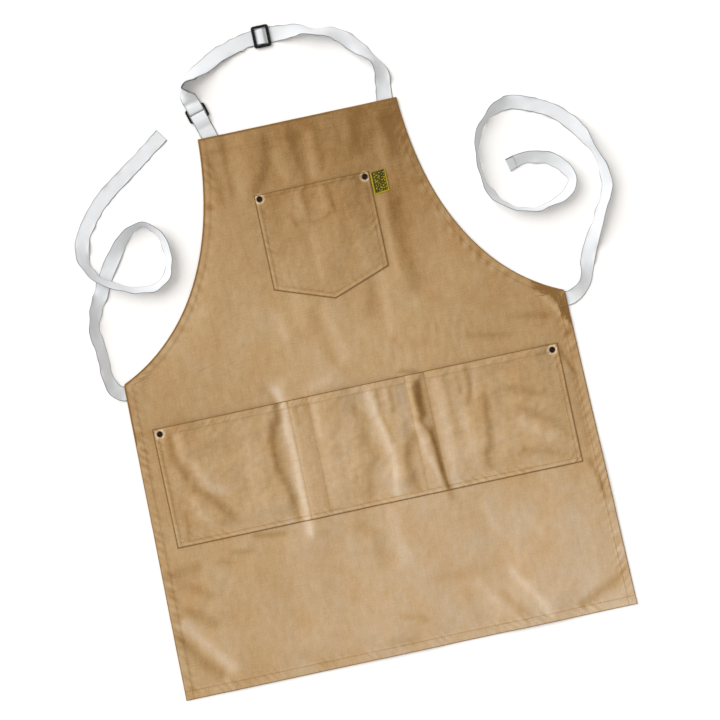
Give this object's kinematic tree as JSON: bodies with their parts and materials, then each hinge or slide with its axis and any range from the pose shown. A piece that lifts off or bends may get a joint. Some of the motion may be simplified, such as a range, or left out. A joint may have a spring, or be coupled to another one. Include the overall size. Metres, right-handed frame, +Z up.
{
  "type": "artist smock apron",
  "caption": "Canvas bib apron laid flat, with a riveted chest pocket, a divided waist pocket, an adjustable neck tape with slider and ring, and waist ties.",
  "frame": {"origin": "middle of the cloth panel's outline, on the surface that the apron lies on", "axes": "+X to the viewer's right across the apron, +Y from the skirt's hem to the bib, +Z up out of the front of the cloth"},
  "size_m": [0.8051, 0.9585, 0.0248],
  "materials": {
    "canvas": "tan cotton canvas, matt, slightly streaky",
    "white_tape": "white cotton twill tape, matt",
    "black_plastic": "moulded, half gloss",
    "rivet_brass": "antique bronze plate",
    "label": "woven ribbon, slight sheen"
  },
  "bodies": {
    "apron": {"apron_panel": "canvas", "chest_pocket": "canvas", "waist_pocket": "canvas", "chest_rivet_left_cap": "rivet_brass", "chest_rivet_left_back": "rivet_brass", "chest_rivet_right_cap": "rivet_brass", "chest_rivet_right_back": "rivet_brass", "waist_rivet_left_cap": "rivet_brass", "waist_rivet_left_back": "rivet_brass", "waist_rivet_right_cap": "rivet_brass", "waist_rivet_right_back": "rivet_brass", "neck_tab": "white_tape", "neck_strap": "white_tape", "tie_left": "white_tape", "tie_right": "white_tape"},
    "slider": {"neck_slider": "black_plastic"},
    "ring": {"neck_ring": "black_plastic"},
    "label": {"woven_label": "label"}
  },
  "joints": [
    {"name": "slider_travel", "type": "hinge", "parent": "apron", "child": "slider", "pos_m": [-0.0265, 0.276, 0], "axis": [0, 0, 1], "range_deg": [-12, 12], "deforming": ["neck_strap"]},
    {"name": "ring_swivel", "type": "hinge", "parent": "apron", "child": "ring", "pos_m": [-0.14088, 0.43537, 0.0029], "axis": [0.9613, 0.2756, 0], "range_deg": [0, 60], "deforming": ["neck_strap"]},
    {"name": "label_flip", "type": "hinge", "parent": "apron", "child": "label", "pos_m": [0.0886, 0.2875, 0.0023], "axis": [0, -1, 0], "range_deg": [0, 100]}
  ]
}
